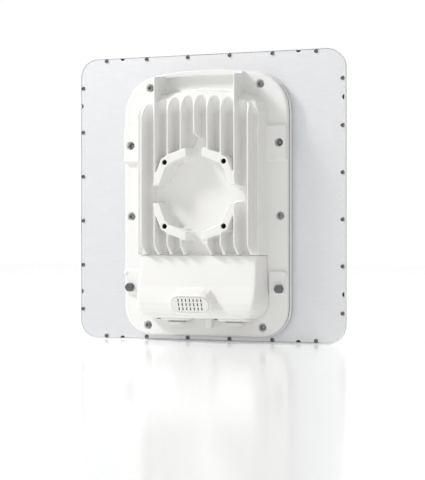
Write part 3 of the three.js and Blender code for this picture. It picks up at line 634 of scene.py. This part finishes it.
def makeScrews(finishes):
    tree = screwTree()
    middle = panelSizes["side"] / 2
    edge = middle - panelSizes["screwInset"]
    rim = []
    for n in range(6):
        along = (n - 2.5) * panelSizes["screwPitch"]
        rim += [(along, -edge), (along, edge), (-edge, along), (edge, along)]
    mesh = grownOn(tree, [place(x, 0, z + middle) for x, z in rim], perimeterScrew, finishes["zincSteel"])
    addPiece("perimeterScrews", mesh, finishes["zincSteel"], rootBody)
    heads = [f"housing_screw_{n + 1}" for n in range(8)]
    seats = []
    for node in heads:
        centre = boxCentre(node)
        seats.append((centre.x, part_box(node)[0].y + housingScrew["Head Height"] * mm, centre.z))
    mesh = grownOn(tree, seats, housingScrew, finishes["stainlessScrew"])
    addPiece("housingScrews", mesh, finishes["stainlessScrew"], rootBody, heads)
    print("screws: 24 on the rim, 8 in the housing")


# ---- tapped holes of the mounting ring ----

tapSizes = {"pitch": 81.3, "crest": 2.95, "root": 3.5, "thread": 1, "depth": 16, "mouth": 1.2, "steps": 36}


# A closed sleeve whose inner wall carries the thread; its outer wall lies inside the boss. Its near-black
# finish is partly real unpainted thread metal and partly painted shade: it is darkened far below bare metal
# to stand for the deep shadow inside the blind holes.
def makeTappedHoles(finishes):
    size = tapSizes
    profile = [(size["root"] + 0.25, size["depth"] + 1), (size["root"] + 0.25, size["mouth"]),
               (size["root"] - 0.1, size["mouth"])]
    turns = int((size["depth"] - size["mouth"]) / size["thread"]) - 1
    for n in range(turns):
        start = size["mouth"] + 0.3 + n * size["thread"]
        profile += [(size["crest"], start + 0.35), (size["crest"], start + 0.5),
                    (size["root"] - 0.1, start + 0.9)]
    profile += [(size["crest"], size["depth"] - 0.4), (0.4, size["depth"]), (0.4, size["depth"] + 1)]
    work = bmesh.new()
    half = size["pitch"] / 2
    for x, z in ((-half, -half), (half, -half), (half, half), (-half, half)):
        part = turnedRings([(r, -along) for r, along in profile], size["steps"], "-y",
                           (x, -ringDepth, ringHeight + z))
        work.from_mesh(part)
    mesh = bpy.data.meshes.new("tappedHoles")
    work.to_mesh(mesh)
    work.free()
    addPiece("tappedHoles", mesh, finishes["tappedMetalPaintedShade"], rootBody)
    print("tapped holes: 4")


# ---- port plugs and ground screws ----

plugSizes = {
    "headRadius": 12, "headHeight": 3.6, "crest": 9.05, "root": 8.25, "pitch": 1.5, "length": 6.4,
    "slotWidth": 2.2, "slotLength": 17, "slotDepth": 1.7, "steps": 56,
}
groundSizes = {
    "acrossCorners": 5.7, "headHeight": 4, "crest": 2.9, "root": 2.45, "pitch": 1, "length": 9,
    "dimple": 1.9, "steps": 40,
}


# Ridges of a screw thread as (radius, along) points, from the tip up to the head.
def threadProfile(crest, root, pitch, length):
    points = [(0.4 * root, -length), (root, -length)]
    turns = int((length - 0.6) / pitch)
    for n in range(turns):
        start = -length + 0.3 + n * pitch
        points += [(root, start), (crest, start + 0.4 * pitch), (crest, start + 0.55 * pitch),
                   (root, start + 0.95 * pitch)]
    return points + [(root, 0)]


def makePlugs(finishes):
    size = plugSizes
    for side in ("left", "right"):
        node = side + "_port_plug"
        low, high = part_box(node)
        centre = ((low.x + high.x) / 2 / mm, (low.y + high.y) / 2 / mm - ringDepth,
                  low.z / mm + ringHeight + size["headHeight"])
        tall = size["headHeight"]
        profile = threadProfile(size["crest"], size["root"], size["pitch"], size["length"]) + [
            (size["headRadius"] - 0.5, 0), (size["headRadius"] - 0.1, 0.15), (size["headRadius"], 0.5),
            (size["headRadius"], tall - 1.4), (size["headRadius"] - 0.3, tall - 0.7),
            (size["headRadius"] - 1.2, tall - 0.15), (size["headRadius"] - 2, tall)]
        plug = turnedRings(profile, size["steps"], "-z", centre)
        halfWide, halfLong = size["slotWidth"] / 2, size["slotLength"] / 2
        slotRings = [[place(centre[0] + x, centre[1] + y, centre[2] - tall + z) for x, y in (
            (-halfLong, -halfWide), (halfLong, -halfWide), (halfLong, halfWide), (-halfLong, halfWide))]
            for z in (-1, size["slotDepth"])]
        plug = carved(plug, [ringSkin("coinSlot", slotRings)], "DIFFERENCE")
        plug.set_sharp_from_angle(angle=math.radians(35))
        addPiece(side + "Plug", plug, finishes["greyNylon"], node + "_body", (node,))

        seal = side + "_plug_seal"
        low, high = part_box(seal)
        outer = (high.x - low.x) / 2 / mm
        depth = (high.z - low.z) / mm
        ring = [(9.4, 0.25), (9.65, 0), (outer - 0.3, 0), (outer, 0.3), (outer, depth - 0.3),
                (outer - 0.3, depth), (9.65, depth), (9.4, depth - 0.25)]
        mesh = closedRing(ring, size["steps"], (centre[0], centre[1], high.z / mm + ringHeight))
        addPiece(side + "PlugSeal", mesh, finishes["greySilicone"], seal + "_body", (seal,))
    print("port plugs and seals")


# A turned ring with a hole through it, pointing down from its centre.
def closedRing(profile, steps, centre):
    work = bmesh.new()
    rows = []
    for i in range(steps):
        angle = 2 * math.pi * i / steps
        rows.append([work.verts.new(place(
            centre[0] + r * math.cos(angle), centre[1] + r * math.sin(angle), centre[2] - along))
            for r, along in profile])
    for i in range(steps):
        row, after = rows[i], rows[(i + 1) % steps]
        for k in range(len(profile)):
            m = (k + 1) % len(profile)
            work.faces.new((row[k], row[m], after[m], after[k]))
    bmesh.ops.recalc_face_normals(work, faces=work.faces)
    mesh = bpy.data.meshes.new("ring")
    work.to_mesh(mesh)
    work.free()
    mesh.shade_smooth()
    mesh.set_sharp_from_angle(angle=math.radians(40))
    return mesh


def makeGroundScrews(finishes):
    size = groundSizes
    for side in ("left", "right"):
        node = side + "_ground_screw"
        low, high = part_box(node)
        tall = size["headHeight"]
        centre = ((low.x + high.x) / 2 / mm, low.y / mm - ringDepth + tall,
                  (low.z + high.z) / 2 / mm + ringHeight)
        wide = size["acrossCorners"]
        prism = turnedRings([(wide, 0), (wide, tall)], 6, "-y", centre)
        bowl = turnedRings([
            (wide * 0.86, -0.01), (wide + 0.2, 0.5), (wide + 0.2, tall - 1.1), (wide * 0.84, tall - 0.02)],
            size["steps"], "-y", centre)
        head = carved(prism, [bowl], "INTERSECT")
        dimple = turnedRings([(size["dimple"], tall - 0.5), (size["dimple"] + 0.7, tall + 0.5)],
                             size["steps"], "-y", centre)
        shank = turnedRings(threadProfile(size["crest"], size["root"], size["pitch"], size["length"])
                            + [(size["root"], 0.6)], size["steps"], "-y", centre)
        screw = carved(carved(head, [dimple], "DIFFERENCE"), [shank], "UNION")
        screw.set_sharp_from_angle(angle=math.radians(30))
        addPiece(side + "GroundScrew", screw, finishes["blackenedSteel"], node + "_body",
                 (node,))
    print("ground screws")


makeStudio()
finishes = makeMaterials()
finishFrame(finishes)
makeCastings(finishes)
makeRadome(finishes)
makePlate(finishes)
makeScrews(finishes)
makeTappedHoles(finishes)
makePlugs(finishes)
makeGroundScrews(finishes)
